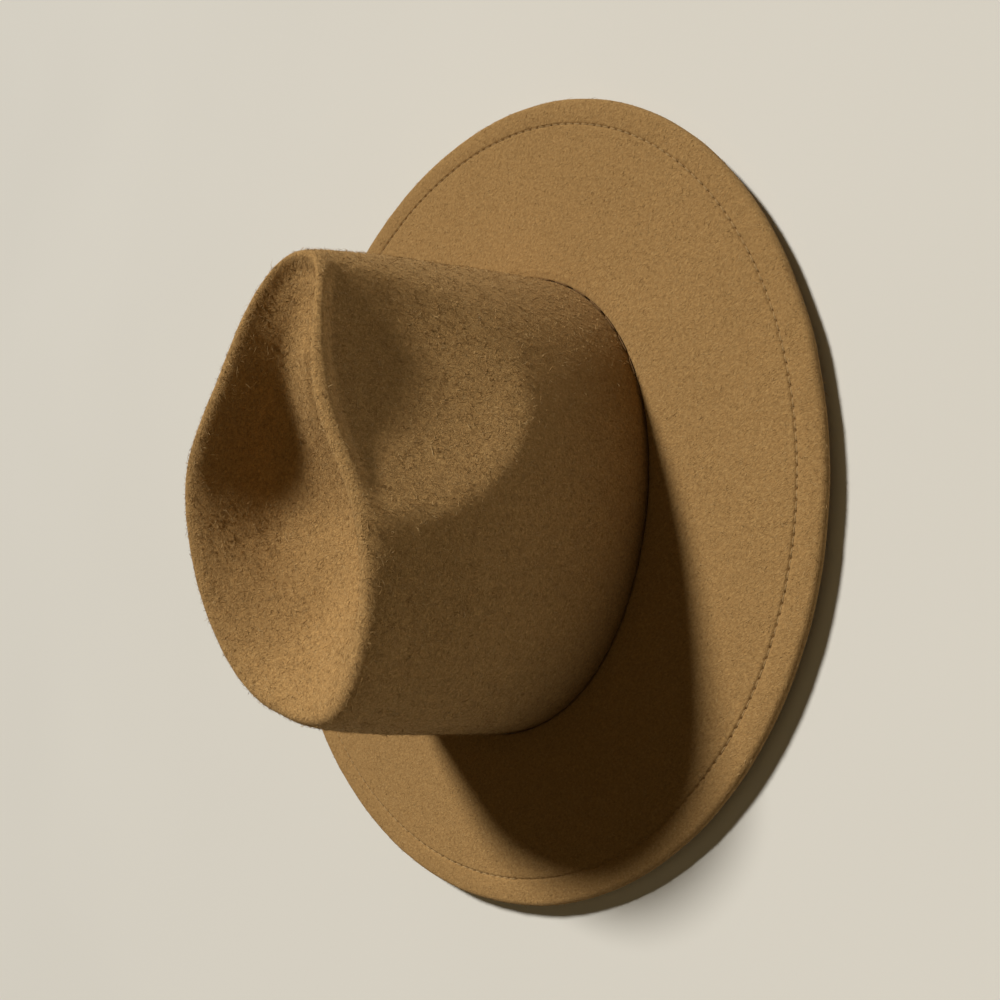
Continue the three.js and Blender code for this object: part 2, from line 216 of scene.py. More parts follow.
# ------------------------------------------------------------------ materials
class Nodes:
    """A small builder for one procedural material."""

    def __init__(self, name):
        self.material = bpy.data.materials.new(name)
        self.material.use_nodes = True
        self.tree = self.material.node_tree
        self.shader = self.tree.nodes["Principled BSDF"]

    def add(self, kind):
        return self.tree.nodes.new(kind)

    def link(self, source, target):
        self.tree.links.new(source, target)

    def place(self, scale=(1, 1, 1)):
        """The piece's own coordinates, in metres, stretched by scale."""
        coords = self.add("ShaderNodeTexCoord")
        mapping = self.add("ShaderNodeMapping")
        mapping.inputs["Scale"].default_value = scale
        self.link(coords.outputs["Object"], mapping.inputs["Vector"])
        return mapping.outputs["Vector"]

    def combed(self, length):
        """The piece's own coordinates, drawn out along the way the felt was brushed."""
        coords = self.add("ShaderNodeTexCoord")
        mapping = self.add("ShaderNodeMapping")
        mapping.vector_type = "TEXTURE"
        mapping.inputs["Rotation"].default_value = (0, math.radians(12), math.radians(48))
        mapping.inputs["Scale"].default_value = (length, 1, 1)
        self.link(coords.outputs["Object"], mapping.inputs["Vector"])
        return mapping.outputs["Vector"]

    def noise(self, where, scale, detail=3.0, roughness=0.6, distortion=0.0):
        node = self.add("ShaderNodeTexNoise")
        node.inputs["Scale"].default_value = scale
        node.inputs["Detail"].default_value = detail
        node.inputs["Roughness"].default_value = roughness
        node.inputs["Distortion"].default_value = distortion
        self.link(where, node.inputs["Vector"])
        return node.outputs["Fac"]

    def ramp(self, value, stops):
        node = self.add("ShaderNodeValToRGB")
        elements = node.color_ramp.elements
        while len(elements) < len(stops):
            elements.new(0.5)
        for element, (position, colour) in zip(elements, stops):
            element.position = position
            element.color = (*colour, 1)
        self.link(value, node.inputs["Fac"])
        return node.outputs["Color"]

    def mix(self, factor, first, second, blend="MIX"):
        node = self.add("ShaderNodeMix")
        node.data_type = "RGBA"
        node.blend_type = blend
        for value, index in ((factor, 0), (first, 6), (second, 7)):
            if isinstance(value, bpy.types.NodeSocket):
                self.link(value, node.inputs[index])
            else:
                node.inputs[index].default_value = value if index == 0 else (*value, 1)
        return node.outputs[2]

    def sums(self, operation, first, second):
        node = self.add("ShaderNodeMath")
        node.operation = operation
        for value, socket in zip((first, second), node.inputs):
            if isinstance(value, bpy.types.NodeSocket):
                self.link(value, socket)
            else:
                socket.default_value = value
        return node.outputs[0]

    def bump(self, height, distance, strength=1.0):
        node = self.add("ShaderNodeBump")
        node.inputs["Strength"].default_value = strength
        node.inputs["Distance"].default_value = distance
        self.link(height, node.inputs["Height"])
        self.link(node.outputs["Normal"], self.shader.inputs["Normal"])

    def colour(self, output):
        self.link(output, self.shader.inputs["Base Color"])

    def surface(self, **values):
        """Sets sockets of the shader, named as words with underscores; sheen is its weight."""
        for key, value in values.items():
            socket = "Sheen Weight" if key == "sheen" else key.replace("_", " ").title()
            self.shader.inputs[socket].default_value = value


FELT_DARK = (0.285, 0.163, 0.060)
FELT_MID = (0.350, 0.210, 0.082)
FELT_LIGHT = (0.420, 0.266, 0.110)


def felt_material(name, fleece, tone):
    """Brushed wool felt; fleece from 0, pressed flat, to 1, long nap; tone multiplies the colour, and
    above 1 it is painted light, a lighter copy of the felt for a brighter-lit part.
    """
    m = Nodes(name)
    plain = m.place()
    brushed = m.combed(2.1)
    cloud = m.noise(plain, 16, 3, 0.55)
    mottle = m.noise(plain, 760, 4, 0.6)
    nap = m.noise(brushed, 1700 - 350 * fleece, 4, 0.65, 0.5 + 0.8 * fleece)
    fine = m.noise(brushed, 2400, 2, 0.6, 0.3)
    base = m.ramp(mottle, [(0.2, FELT_DARK), (0.5, FELT_MID), (0.8, FELT_LIGHT)])
    even = (0.93 * tone, 0.925 * tone, 0.91 * tone), (1.06 * tone, 1.055 * tone, 1.05 * tone)
    tinted = m.mix(1.0, base, m.mix(cloud, *even), "MULTIPLY")
    low, high = 0.72 - 0.20 * fleece, 1.26 + 0.26 * fleece
    shadow, lit = (low, low * 0.97, low * 0.91), (high, high, high * 0.98)
    strands = m.ramp(nap, [(0.28, shadow), (0.50, (1.0, 1.0, 1.0)), (0.74, lit)])
    m.colour(m.mix(0.85, tinted, strands, "MULTIPLY"))
    height = m.sums("ADD", nap, m.sums("MULTIPLY", fine, 0.4))
    m.bump(height, (0.30 + 0.25 * fleece) * MM, 0.9)
    m.surface(roughness=0.97, sheen=0.10, sheen_roughness=0.5)
    m.shader.inputs["Sheen Tint"].default_value = (0.92, 0.70, 0.42, 1)
    m.shader.inputs["Specular IOR Level"].default_value = 0.08
    return m.material


def nap_material():
    """Single wool fibres, each a little lighter or darker than the next."""
    m = Nodes("nap")
    island = m.add("ShaderNodeNewGeometry")
    tone = m.ramp(
        island.outputs["Random Per Island"],
        [(0.0, (0.28, 0.165, 0.060)), (0.6, (0.40, 0.25, 0.10)), (1.0, (0.56, 0.39, 0.19))],
    )
    cloud = m.noise(m.place(), 16, 3, 0.55)
    m.colour(m.mix(1.0, tone, m.mix(cloud, (0.93, 0.92, 0.90), (1.06, 1.055, 1.05)), "MULTIPLY"))
    m.surface(roughness=0.95)
    m.shader.inputs["Specular IOR Level"].default_value = 0.1
    return m.material


def thread_material(name, dark, light):
    """Spun thread, its twist in the colour and in the relief."""
    m = Nodes(name)
    twist = m.noise(m.place((1, 1, 2.5)), 2600, 2, 0.5)
    m.colour(m.ramp(twist, [(0.3, dark), (0.7, light)]))
    m.bump(twist, 0.12 * MM)
    m.surface(roughness=0.8)
    m.shader.inputs["Specular IOR Level"].default_value = 0.15
    return m.material


def cloth_material(name, dark, light, rib):
    """Ribbed ribbon; rib is the spacing of its ribs along the strip, in metres."""
    m = Nodes(name)
    coords = m.add("ShaderNodeUVMap")
    coords.uv_map = "strip"
    split = m.add("ShaderNodeSeparateXYZ")
    m.link(coords.outputs["UV"], split.inputs["Vector"])
    ribs = m.sums("SINE", m.sums("MULTIPLY", split.outputs["X"], 2 * math.pi / rib), 0.0)
    across = m.sums("SINE", m.sums("MULTIPLY", split.outputs["Y"], 2 * math.pi / (0.45 * MM)), 0.0)
    wool = m.noise(m.place(), 900, 3)
    weave = m.sums("ADD", ribs, m.sums("MULTIPLY", across, 0.25))
    shade = m.sums("ADD", m.sums("MULTIPLY", weave, 0.22), wool)
    m.colour(m.ramp(shade, [(0.25, dark), (0.75, light)]))
    m.bump(m.sums("ADD", m.sums("MULTIPLY", weave, 0.5), wool), 0.22 * MM, 0.9)
    m.surface(roughness=0.8, sheen=0.15)
    return m.material


def label_material():
    """Satin-woven label cloth with a fine cross weave."""
    m = Nodes("label_cloth")
    weave = m.noise(m.place((1, 1, 9)), 1500, 2)
    stain = m.noise(m.place(), 60, 3)
    shade = m.sums("ADD", m.sums("MULTIPLY", weave, 0.6), m.sums("MULTIPLY", stain, 0.4))
    m.colour(m.ramp(shade, [(0.3, (0.60, 0.55, 0.44)), (0.7, (0.78, 0.73, 0.62))]))
    m.bump(weave, 0.08 * MM, 0.7)
    m.surface(roughness=0.75, sheen=0.1)
    return m.material


def steel_material():
    """Drawn spring steel."""
    m = Nodes("spring_steel")
    drawn = m.noise(m.place((6, 6, 1)), 260, 3)
    m.colour(m.ramp(drawn, [(0.3, (0.36, 0.36, 0.35)), (0.7, (0.60, 0.60, 0.58))]))
    rough = m.add("ShaderNodeMapRange")
    rough.inputs["To Min"].default_value = 0.25
    rough.inputs["To Max"].default_value = 0.5
    m.link(drawn, rough.inputs["Value"])
    m.link(rough.outputs["Result"], m.shader.inputs["Roughness"])
    m.surface(metallic=1.0)
    return m.material


def plastic_material():
    """Milky plastic with faint flow marks."""
    m = Nodes("reed_plastic")
    flow = m.noise(m.place(), 180, 2)
    m.colour(m.ramp(flow, [(0.3, (0.62, 0.58, 0.48)), (0.7, (0.78, 0.75, 0.66))]))
    m.bump(flow, 0.05 * MM, 0.5)
    m.surface(roughness=0.45)
    return m.material


# ------------------------------------------------------------------ crown
RIDGE_HALF_LENGTH = 87.5 * MM
RIDGE_HALF_WIDTH, RIDGE_FLARE = 45.5 * MM, 17.5 * MM  # narrow at the front, flaring to the back
RIDGE_HEIGHT, RIDGE_FALL, RIDGE_SAG, NOSE_DROP = 127.8 * MM, 17 * MM, 4 * MM, 25 * MM
DENT_Y, DENT_HALF_LENGTH = -5 * MM, 46 * MM
DENT_FLOOR, DENT_RISE = 92 * MM, 28 * MM  # the floor line rises to the front
WALL = [(0.12, 0.0), (0.32, 0.05), (0.52, 0.14), (0.72, 0.31), (0.90, 0.66)]
PRESS_AT = np.array([-46.3, -35.6, 105.6]) * MM  # middle of the hollow in the wearer's right side
PRESS_FACING = np.array([-0.75, -0.49, 0.44])
PRESS_RADIUS = 180 * MM
PRESS_DEPTH = 3.5 * MM
PRESS_ROUNDING = 1.6 * MM


def crown_controls(a):
    """Control points [columns, points, 3] of the crown's outer surface."""
    c, s = np.cos(a), np.sin(a)
    base = head_oval(a)
    zero = np.zeros_like(a)
    crest_x = (RIDGE_HALF_WIDTH + RIDGE_FLARE * np.tanh((s + 0.2) / 0.29)) * signed_power(c, 0.76)
    crest_y = HEAD_Y + RIDGE_HALF_LENGTH * s
    crest_z = RIDGE_HEIGHT - RIDGE_FALL * s - RIDGE_SAG * s * s
    crest_z -= NOSE_DROP * np.maximum(0, -s - 0.25) ** 2
    floor_y = DENT_Y + DENT_HALF_LENGTH * s
    floor_z = DENT_FLOOR + DENT_RISE * smooth(-s, -0.45, 1.0)
    rear = smooth(s, 0.35, 1.0)

    def wall(height, inward):
        share = inward + (height - inward) * 0.75 * s * s
        return np.stack([
            base[:, 0] + (crest_x - base[:, 0]) * share,
            base[:, 1] + (crest_y - base[:, 1]) * share,
            BRIM_UNDER + (crest_z - BRIM_UNDER) * height,
        ], -1)

    def slope(share, z):
        return np.stack([crest_x * (1 - share), crest_y + (floor_y - crest_y) * share, z], -1)

    # a steep-walled dent at the front and middle, a rounder bowl at the back
    controls = [wall(0, zero)] + [wall(h, k) for h, k in WALL]
    controls.append(np.stack([crest_x, crest_y, crest_z + 4 * MM], -1))
    controls.append(slope(0.17 + 0.07 * rear, crest_z - 3.0 * MM))
    controls.append(slope(0.36 + 0.15 * rear, crest_z + (floor_z - crest_z) * 0.53))
    controls.append(slope(0.58 + 0.20 * rear, floor_z))
    controls.append(slope(1.0, floor_z))
    return np.stack(controls, 1)


def press_hollows(grid):
    """Presses a big ball into the wall beside the front of the ridge, on both sides."""
    crest = grid[..., 2].argmax(1)[:, None]
    top = grid[..., 2].max(1)[:, None]
    outside = np.arange(grid.shape[1])[None] < crest
    facing = PRESS_FACING / np.linalg.norm(PRESS_FACING)
    ball = PRESS_AT + facing * (PRESS_RADIUS - PRESS_DEPTH)
    mirror = np.where(grid[..., 0] > 0, -1.0, 1.0)
    x = grid[..., 0] * mirror
    left = PRESS_RADIUS ** 2 - (grid[..., 1] - ball[1]) ** 2 - (grid[..., 2] - ball[2]) ** 2
    ball_x = np.where(left > 0, ball[0] + np.sqrt(np.maximum(left, 0)), -1)
    pressed = (x + ball_x) / 2 + np.hypot((x - ball_x) / 2, PRESS_ROUNDING)
    push = np.maximum(pressed - x - 0.065 * MM, 0) * outside
    push *= smooth((top - grid[..., 2]) / (9 * MM), 0, 1) * smooth(np.abs(x), 3 * MM, 14 * MM)
    grid[..., 0] = (x + push) * mirror
    return grid


def crown_grid(a, rows):
    """Points [columns, rows, 3] of the crown's outer surface, from the foot to the dent."""
    controls = crown_controls(a)
    weights = spline_basis(controls.shape[1], rows)
    return press_hollows(np.einsum("rk,akc->arc", weights, controls))


def crown_surface(columns, rows):
    """Outer surface as points and quads; the two sides meet on the dent's floor line."""
    a = FRONT + np.arange(columns) / columns * 2 * math.pi
    points = crown_grid(a, rows).transpose(1, 0, 2).reshape(-1, 3)
    index = np.arange(rows * columns)
    last = (rows - 1) * columns
    mirrored = np.arange(columns // 2 + 1, columns)
    index[last + mirrored] = last + columns - mirrored
    faces = index[grid_faces(rows, columns)]
    keep = np.unique(faces)
    renumber = np.zeros(len(points), int)
    renumber[keep] = np.arange(len(keep))
    return points[keep], renumber[faces]


def make_crown(material):
    """The crown as a felt shell; gives back its outer points, faces and normals."""
    columns, rows = 320, 138
    points, faces = crown_surface(columns, rows)
    normals = point_normals(points, faces)
    hand_shaped = 0.55 * MM * lumps(points, 34 * MM, 3.1) + 0.16 * MM * lumps(points, 9 * MM, 8.4)
    tied = smooth(points[:, 2], 34 * MM, 62 * MM)
    points = points + normals * (hand_shaped * tied)[:, None]
    # the head seam draws the foot of the wall in where it meets the brim
    drawn = 0.2 * MM * np.exp(-(((points[:, 2] - BRIM_TOP) / (1.6 * MM)) ** 2))
    points -= normals * drawn[:, None]
    normals = point_normals(points, faces)
    foot = points[:, 2] < BRIM_UNDER + 1e-6
    normals[foot, 2] = 0
    inside = points - normals * FELT
    count = len(points)
    inner = faces[:, ::-1] + count
    k = np.arange(columns)
    rim = np.stack([(k + 1) % columns, k, k + count, (k + 1) % columns + count], 1)
    shell = new_object("crown_felt", np.concatenate([points, inside]), np.concatenate([faces, inner, rim]))
    finish_piece(shell, material, "crown_felt", "crown")
    return points, faces, normals


# ------------------------------------------------------------------ brim
def edge_profile():
    """The turned edge in section, as (distance in from the edge, height), from the top round."""
    round_r = 2.55 * MM
    top_z, middle = BRIM_TOP + 0.15 * MM, BRIM_TOP + 0.15 * MM - round_r
    outline = [(s, BRIM_TOP) for s in (PLATE_END, 14.6 * MM, 13.6 * MM)]
    around_seam = [(1.5, 0.0), (0.95, -0.03), (0.6, -0.14), (0.3, -0.34), (0, -0.45)]
    outline += [(SEAM + s * MM, BRIM_TOP + z * MM) for s, z in around_seam]
    outline += [(SEAM - s * MM, BRIM_TOP + z * MM) for s, z in around_seam[-2::-1]]
    outline += [(s * MM, top_z + h * MM) for s, h in ((8.6, 0.0), (7.2, 0.1), (5.6, 0.14), (4.0, 0.08))]
    turns = np.linspace(math.pi / 2, math.pi, 7)
    outline += [(round_r + round_r * math.cos(t), middle + round_r * math.sin(t)) for t in turns]
    lower = np.linspace(math.pi, 1.5 * math.pi, 7)[1:]
    low_r = middle
    outline += [(round_r + round_r * math.cos(t), middle + low_r * math.sin(t)) for t in lower]
    outline += [(s * MM, 0) for s in (5, 7.5, 9.6)]
    under_seam = [(-0.7, 0.06), (-0.3, 0.3), (0, 0.4), (0.3, 0.3), (0.7, 0.06)]
    outline += [(SEAM + s * MM, z * MM) for s, z in under_seam]
    outline += [(13.2 * MM, 0), (HEM - 0.25 * MM, 0.05 * MM), (HEM, 0.3 * MM), (HEM + 0.1 * MM, 1.2 * MM)]
    outline += [(HEM, HEM_PLY - 0.2 * MM), (HEM - 0.3 * MM, HEM_PLY)]
    outline += [(s * MM, HEM_PLY) for s in (12, 8.5)]
    slit = math.asin(0.15 * MM / TUNNEL_R)
    tunnel = np.linspace(-slit, -2 * math.pi + slit, 13)
    slit_z = (HEM_PLY + BRIM_UNDER) / 2
    outline += [(WIRE_IN + TUNNEL_R * math.cos(t), slit_z + TUNNEL_R * math.sin(t)) for t in tunnel]
    outline += [(s, BRIM_UNDER) for s in (8.5 * MM, 12 * MM, 14.5 * MM, PLATE_END)]
    return outline


HEAD_GAP = 0.3 * MM  # between the crown and the brim
PLATE_END = 16 * MM  # where the flat of the brim ends and the turned edge begins, in from the edge
# rows between head seam and hem, as shares of the way out
PLATE_SHARES = [0.0, 0.012, 0.03, 0.055, 0.09, 0.14, 0.2, 0.28]
PLATE_SHARES += [0.36, 0.44, 0.52, 0.6, 0.68, 0.76, 0.84, 0.92]


def brim_grid(a):
    """Sections of the brim [stations, points, 3], and the row that lies on the seam."""
    head = shifted(head_oval, a, HEAD_GAP)
    outer = shifted(brim_oval, a, -PLATE_END)
    rows = []
    for share in PLATE_SHARES:
        dip = -0.5 * MM * math.exp(-((share / 0.03) ** 2))
        rows.append((head + (outer - head) * share, BRIM_TOP + dip))
    profile = edge_profile()
    for inset, z in profile:
        rows.append((shifted(brim_oval, a, -inset), z))
    for share in PLATE_SHARES[::-1]:
        rows.append((head + (outer - head) * share, BRIM_UNDER))
    grid = np.stack([np.column_stack([xy, np.full(len(a), z)]) for xy, z in rows], 1)
    # the plate's rows, then the profile's three flat ones, then four down to the seam
    seam_row = len(PLATE_SHARES) + 3 + 4
    return grid, seam_row


def brim_sway(points):
    """How far the free brim between head and hem rises and falls, in metres."""
    return 0.55 * MM * lumps(points * np.array([1, 1, 0]), 62 * MM, 5.5)


def make_brim(material):
    """The brim with its turned edge; gives back its points, faces and normals."""
    columns = EDGE_STITCHES * COLUMNS_PER_STITCH
    a = even_angles(brim_oval, columns, SEAM)
    grid, seam_row = brim_grid(a)
    stations, around = grid.shape[:2]
    # needle holes: a pit where each stitch goes down
    hole = np.arange(stations) % COLUMNS_PER_STITCH == 0
    for offset, depth in ((0, 0.85), (1, 0.55), (-1, 0.55), (2, 0.12), (-2, 0.12)):
        grid[hole, seam_row + offset, 2] -= depth * MM
    flat = grid.reshape(-1, 3)
    inset = brim_inset(flat)
    free = smooth(inset, HEM, HEM + 18 * MM)
    on_top = flat[:, 2] > BRIM_UNDER + 0.6 * MM
    sway = brim_sway(flat) * free
    edge = 1 - smooth(inset, 1.5 * MM, 9.5 * MM)
    puff = 0.16 * MM * lumps(flat, 6 * MM, 1.7) * (1 - smooth(inset, 9.5 * MM, 11 * MM)) * on_top
    relief = 0.07 * MM * lumps(flat, 5 * MM, 4.2) * on_top
    flat[:, 2] += sway + puff + relief
    wander = 0.28 * MM * lumps(flat * np.array([1, 1, 0]), 21 * MM, 9.3) * edge
    outward = flat[:, :2] / np.linalg.norm(flat[:, :2], axis=1, keepdims=True)
    flat[:, :2] += outward * wander[:, None]
    faces = grid_faces(stations, around, True, True)
    finish_piece(new_object("brim_felt", flat, faces), material, "brim_felt", "brim")
    return flat, faces, point_normals(flat, faces)


def brim_inset(points):
    """Distance in from the brim's edge, near enough for blending."""
    a = np.arctan2(points[:, 1] / BRIM_HALF[1], points[:, 0] / BRIM_HALF[0])
    edge = np.linalg.norm(brim_oval(a), axis=1)
    return edge - np.linalg.norm(points[:, :2], axis=1)


# ------------------------------------------------------------------ threads
SUNK_FROM, SUNK_TO = math.radians(108), math.radians(152)  # stretch where the thread has sunk away


def edge_stitches(material, top):
    """One tube a stitch, from needle hole to needle hole along the hem's seam."""
    holes = even_angles(brim_oval, EDGE_STITCHES, SEAM)
    rise = GRAIN.uniform(-0.08, 0.06, EDGE_STITCHES) * MM
    parts = []
    for i, start in enumerate(holes):
        end = holes[(i + 1) % EDGE_STITCHES] + (2 * math.pi if i + 1 == EDGE_STITCHES else 0)
        t = np.linspace(0, 1, 7)
        angle = start + (end - start) * (0.04 + 0.92 * t)
        xy = shifted(brim_oval, angle, -SEAM)
        arch = np.array([-0.55, -0.12, 0, 0.03, 0, -0.12, -0.55]) * MM
        z = BRIM_TOP - 0.36 * MM + rise[i] + arch
        if top and SUNK_FROM < (start % (2 * math.pi)) < SUNK_TO:
            z = z - 0.32 * MM
        if not top:
            z = 0.30 * MM - arch * 0.6
        parts.append(tube(np.column_stack([xy, z]), EDGE_THREAD))
    name = "edge_stitches_top" if top else "edge_stitches_under"
    node = "edge_seam_needle_thread" if top else "edge_seam_bobbin_thread"
    return finish_piece(new_object(name, *joined(parts)), material, "thread", node)


def crease_stitches(material):
    """Long stitches of the head seam, lying in the crease at the foot of the crown."""
    count = CREASE_STITCHES
    starts = even_angles(head_oval, count)
    parts = []
    for i, start in enumerate(starts):
        end = starts[(i + 1) % count] + (2 * math.pi if i + 1 == count else 0)
        t = np.linspace(0, 1, 9)
        angle = start + (end - start) * (0.08 + 0.78 * t)
        xy = shifted(head_oval, angle, 0.15 * MM)
        arch = -0.7 * MM * np.abs(2 * t - 1) ** 6
        parts.append(tube(np.column_stack([xy, BRIM_TOP - 0.02 * MM + arch]), CREASE_THREAD))
    obj = new_object("head_seam_stitches_outside", *joined(parts))
    return finish_piece(obj, material, "thread", "head_seam_needle_thread")


# ------------------------------------------------------------------ sweatband and what is sewn to it
WALL_GAP, BAND_PLY, TROUGH = 0.6 * MM, 0.8 * MM, 1.9 * MM
BAND_TOP, HOOK_LOW, HOOK_TOP, TURN = 34 * MM, 0.6 * MM, 5.0 * MM, 3.0 * MM
BAND_FACE = WALL_GAP + BAND_PLY  # inner face of the band, in from the crown's inner face
RIB = 1.1 * MM
SLIT_HALF = 0.5 * MM / HEAD_HALF[0]  # half the opening at the back, as an angle
STRIP_LENGTH = 580 * MM


def inward_normals(a):
    """Flat unit normals of the head oval that point into the hat."""
    along = head_oval(a + 1e-3) - head_oval(a - 1e-3)
    along /= np.linalg.norm(along, axis=-1, keepdims=True)
    return np.stack([-along[..., 1], along[..., 0]], -1)


def band_points(a, outline):
    """Points [angles, outline, 3]; the outline is (inward from the crown, height)."""
    a = np.atleast_1d(a)
    outline = np.asarray(outline, float)
    if outline.ndim == 2:
        outline = np.broadcast_to(outline, (len(a), *outline.shape))
    out = np.empty((len(a), outline.shape[1], 3))
    normals = inward_normals(a)
    columns = crown_grid(a, 260)[:, :90]
    lift = shifted(head_oval, a, -FELT) - head_oval(a)
    for i, column in enumerate(columns):
        z = np.maximum(outline[i, :, 1], TURN)
        for k in (0, 1):
            wall = np.interp(z, column[:, 2], column[:, k]) + lift[i, k]
            out[i, :, k] = wall + normals[i, k] * outline[i, :, 0]
        out[i, :, 2] = outline[i, :, 1]
    return out


def add_strip_map(obj, around, step, section):
    """Map for the ribs: x runs along the strip, y across it, both in metres."""
    layer = obj.data.uv_layers.new(name="strip")
    index = np.empty(len(obj.data.loops), int)
    obj.data.loops.foreach_get("vertex_index", index)
    across = np.concatenate([[0], np.cumsum(np.linalg.norm(np.diff(section, axis=0), axis=1))])
    flat = np.stack([(index // around) * step, across[index % around]], -1)
    layer.data.foreach_set("uv", flat.ravel())


def make_sweatband(material):
    """The ribbed band, open at the back, its lower edge turned into a hook."""
    stations = 1380
    a = np.linspace(BACK + SLIT_HALF, BACK + 2 * math.pi - SLIT_HALF, stations)
    far = BAND_FACE + TROUGH
    curl = np.linspace(math.pi, 2 * math.pi, 9)[1:-1]
    middle, radius = (WALL_GAP + far + BAND_PLY) / 2, (far + BAND_PLY - WALL_GAP) / 2
    outer = [(WALL_GAP, z * MM) for z in (34, 33.6, 29, 24, 18, 12, 8, 5, 3.4)]
    outer += [(middle + radius * math.cos(t), TURN + (TURN - HOOK_LOW) * math.sin(t)) for t in curl]
    outer += [(far + BAND_PLY, 3.4 * MM), (far + BAND_PLY, 4.8 * MM), (far + BAND_PLY / 2, HOOK_TOP)]
    inner_r = TROUGH / 2
    back = [(far, 4.8 * MM), (far, 3.4 * MM)]
    back += [
        (BAND_FACE + inner_r + inner_r * math.cos(t), TURN + (TURN - HOOK_LOW - BAND_PLY) * math.sin(t))
        for t in curl[::-1]
    ]
    back += [(BAND_FACE, z * MM) for z in (3.4, 5, 8, 12, 18, 24, 29, 33.6)]
    back += [(BAND_FACE - 0.2 * MM, BAND_TOP)]
    outline = np.array(outer + back)
    tiled = np.broadcast_to(outline, (stations, *outline.shape)).copy()
    ribs = 0.05 * MM * np.sin(np.arange(stations) * math.pi / 1.2)
    inside = np.arange(len(outline)) >= len(outer)
    tiled[:, inside, 0] += ribs[:, None]
    wave = 0.12 * MM * np.sin(a * 3 + 1) + 0.08 * MM * np.sin(a * 11)
    tiled[:, outline[:, 1] > 30 * MM, 1] += wave[:, None]
    points = band_points(a, tiled)
    obj = new_object("sweatband_ribbed", *swept(points))
    add_strip_map(obj, len(outline), STRIP_LENGTH / stations, outline)
    return finish_piece(obj, material, "band_cloth", "sweatband")


def make_reed(material):
    """The cord that lies in the band's hook."""
    a = np.linspace(BACK + SLIT_HALF, BACK + 2 * math.pi - SLIT_HALF, 300)
    path = band_points(a, [(BAND_FACE + TROUGH / 2, 2.6 * MM)])[:, 0]
    obj = new_object("reed", *tube(path, REED_RADIUS, 10))
    return finish_piece(obj, material, "reed_plastic", "sweatband_reed")


def inner_stitches(material):
    """Running stitches that hold the band in the hat, on its inner face."""
    count = BAND_STITCHES
    middle = BACK + SLIT_HALF + (np.arange(count) + 0.5) / count * (2 * math.pi - 2 * SLIT_HALF)
    reach = math.pi / count * 0.72
    parts = []
    for centre in middle:
        a = centre + np.linspace(-reach, reach, 7)
        sink = 0.45 * MM * np.linspace(-1, 1, 7) ** 4
        outline = [[(BAND_FACE + 0.45 * MM - d, 8 * MM)] for d in sink]
        parts.append(tube(band_points(a, outline)[:, 0], BAND_THREAD))
    obj = new_object("head_seam_stitches_inside", *joined(parts))
    return finish_piece(obj, material, "thread", "head_seam_bobbin_thread")


def joint_stitches(material):
    """Zigzag across the joint of the band at the back."""
    low, high, turns = 17 * MM, 32 * MM, 6
    t = np.linspace(0, turns, turns * 12 + 1)
    triangle = 2 * np.abs((t / 2 + 0.25) % 1 - 0.5) * 2 - 1
    swing = np.sin(triangle * math.pi / 2) * 2.1 * MM
    a = BACK + swing / HEAD_HALF[0] * 1.02
    outline = [[(BAND_FACE + 0.42 * MM, z)] for z in low + (high - low) * t / turns]
    path = band_points(a, outline)[:, 0]
    obj = new_object("joint_zigzag", *tube(path, JOINT_THREAD, 8))
    return finish_piece(obj, material, "thread", "sweatband_joint_thread")


def bow_loop(side):
    """One flattened loop of the bow, as a strip that goes out and comes back, in millimetres."""
    out = np.array([0.3, 1.6, 3.2, 5.0, 6.8, 8.2, 9.1, 9.5, 9.1, 8.2, 6.8, 5.0, 3.2, 1.6, 0.3]) * side
    depth = np.array([0.25, 0.35, 0.5, 0.75, 0.95, 1.0, 0.85, 0.5, 0.15, 0.0, 0.0, 0.1, 0.2, 0.2, 0.15])
    half = np.interp(np.abs(out), [0, 1.6, 5, 9.5], [1.7, 2.1, 3.7, 4.2])
    t = np.linspace(0, len(out) - 1, 57)
    knots = np.arange(len(out))
    x, y, h = (np.interp(t, knots, v) for v in (out, depth, half))
    along = np.stack([np.gradient(x), np.gradient(y)], -1)
    along /= np.linalg.norm(along, axis=1, keepdims=True)
    thick = 0.13
    rows = []
    widths = (-1, -0.5, 0, 0.5, 1)
    for dz, dn in [(w, -1) for w in widths] + [(w, 1) for w in widths[::-1]]:
        pleat = 0.18 * math.cos(dz * math.pi) * np.clip(1 - np.abs(x) / 6, 0, 1)
        off = dn * thick + pleat
        rows.append(np.stack([x - along[:, 1] * off, y + along[:, 0] * off, h * dz], -1))
    return swept(np.stack(rows, 1))


def bow_knot():
    """The band round the middle of the bow, in millimetres like the loops."""
    t = np.linspace(0, 2 * math.pi, 25)[:-1]
    across, deep = 1.5 * signed_power(np.cos(t), 0.5), 0.75 * np.sin(t)
    half = 2.15
    rows = []
    for z in np.linspace(-half, half, 9):
        swell = 1 - 0.10 * (z / half) ** 2
        rows.append(np.column_stack([across * swell, 0.55 + deep * swell, np.full(len(t), z)]))
    return swept(np.stack(rows))


def make_bow(material):
    """The ribbon bow at the foot of the band's joint."""
    inward = BAND_FACE + 0.5 * MM
    foot, middle = band_points(BACK, [(inward, 9 * MM), (inward, 13.5 * MM)])[0]
    lean = math.atan2(foot[1] - middle[1], middle[2] - foot[2])
    points, faces = joined([bow_loop(1), bow_loop(-1), bow_knot()])
    x, y, z = (points * MM).T
    placed = np.stack([
        middle[0] + x,
        middle[1] - y * math.cos(lean) - z * math.sin(lean),
        middle[2] + z * math.cos(lean) - y * math.sin(lean),
    ], -1)
    obj = new_object("ribbon_bow", placed, faces)
    layer = obj.data.uv_layers.new(name="strip")
    index = np.empty(len(obj.data.loops), int)
    obj.data.loops.foreach_get("vertex_index", index)
    layer.data.foreach_set("uv", np.stack([x[index], z[index]], -1).ravel())
    return finish_piece(obj, material, "bow_ribbon", "sweatband_bow")


